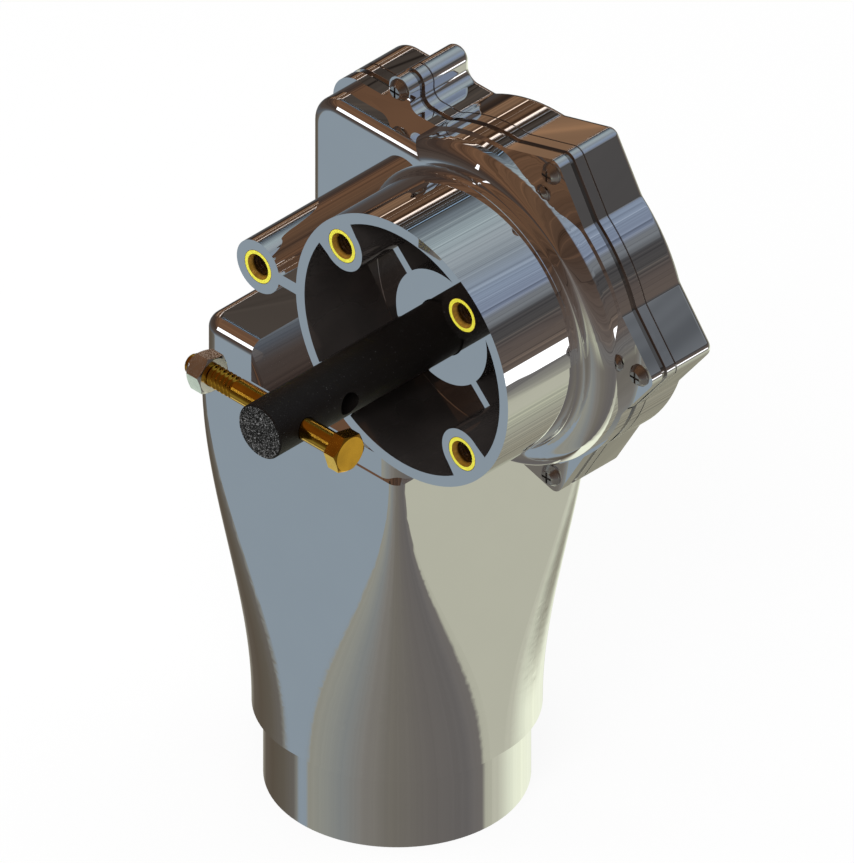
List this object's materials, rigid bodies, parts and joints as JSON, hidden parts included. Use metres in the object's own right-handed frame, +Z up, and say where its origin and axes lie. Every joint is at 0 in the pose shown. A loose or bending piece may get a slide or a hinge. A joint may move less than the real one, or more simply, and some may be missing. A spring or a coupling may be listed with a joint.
{
  "type": "worm gear motor",
  "caption": "Right-angle worm gear motor with a flanged barrel mount, a cross-drilled output shaft and a tapered motor housing",
  "frame": {"origin": "centre of the barrel's mounting face, on the output shaft's axis", "axes": "+Z up, the motor hangs down along -Z; the output shaft points to -Y; +X is to the right of the face"},
  "size_m": [0.1715, 0.1641, 0.2897],
  "materials": {
    "casting": "mirror polished casting",
    "can_steel": "bright plated drawn steel",
    "rubber": "black nitrile rubber",
    "screw_steel": "bright steel",
    "brass": "bright turned brass",
    "magnet": "sintered ferrite",
    "bearing_steel": "ground steel",
    "moulding": "dark moulded resin",
    "carbon": "pressed carbon",
    "black_steel": "black oxide with a fine speckle",
    "bronze": "cut bronze",
    "yellow_zinc": "yellow passivated steel",
    "zinc": "clear zinc plated steel",
    "core_steel": "stacked laminations",
    "copper": "enamelled copper"
  },
  "bodies": {
    "housing": {"gear_case": "casting", "gasket": "rubber", "bearing_plate": "casting", "cover_seam": "rubber", "rear_cover": "casting", "cover_screws": "screw_steel", "threaded_inserts": "brass", "motor_housing": "casting", "motor_can": "can_steel", "motor_end_plate": "casting", "magnets": "magnet", "housing_screws": "screw_steel", "rotor_bearing_lower": "bearing_steel", "rotor_bearing_upper": "bearing_steel", "worm_bearing": "bearing_steel", "shaft_bearing_front": "bearing_steel", "shaft_bearing_rear": "bearing_steel", "shaft_seal": "rubber", "brush_holder": "moulding", "carbon_brushes": "carbon", "brush_springs": "screw_steel"},
    "output": {"output_shaft": "black_steel", "wheel_key": "bearing_steel", "retaining_rings": "screw_steel", "worm_wheel": "bronze", "drive_bolt": "yellow_zinc", "lock_nut": "zinc"},
    "rotor": {"rotor_shaft": "bearing_steel", "armature_core": "core_steel", "armature_windings": "copper", "commutator": "copper", "worm": "bearing_steel"}
  },
  "joints": [
    {"name": "rotor_spin", "type": "hinge", "parent": "housing", "child": "rotor", "pos_m": [-0.052, 0.0497, 0], "axis": [0, 0, 1], "continuous": true},
    {"name": "output_spin", "type": "hinge", "parent": "housing", "child": "output", "pos_m": [0, 0, 0], "axis": [0, 1, 0], "continuous": true}
  ],
  "couplings": [
    {"joint": "output_spin", "follows": "rotor_spin", "ratio": -0.023256}
  ]
}
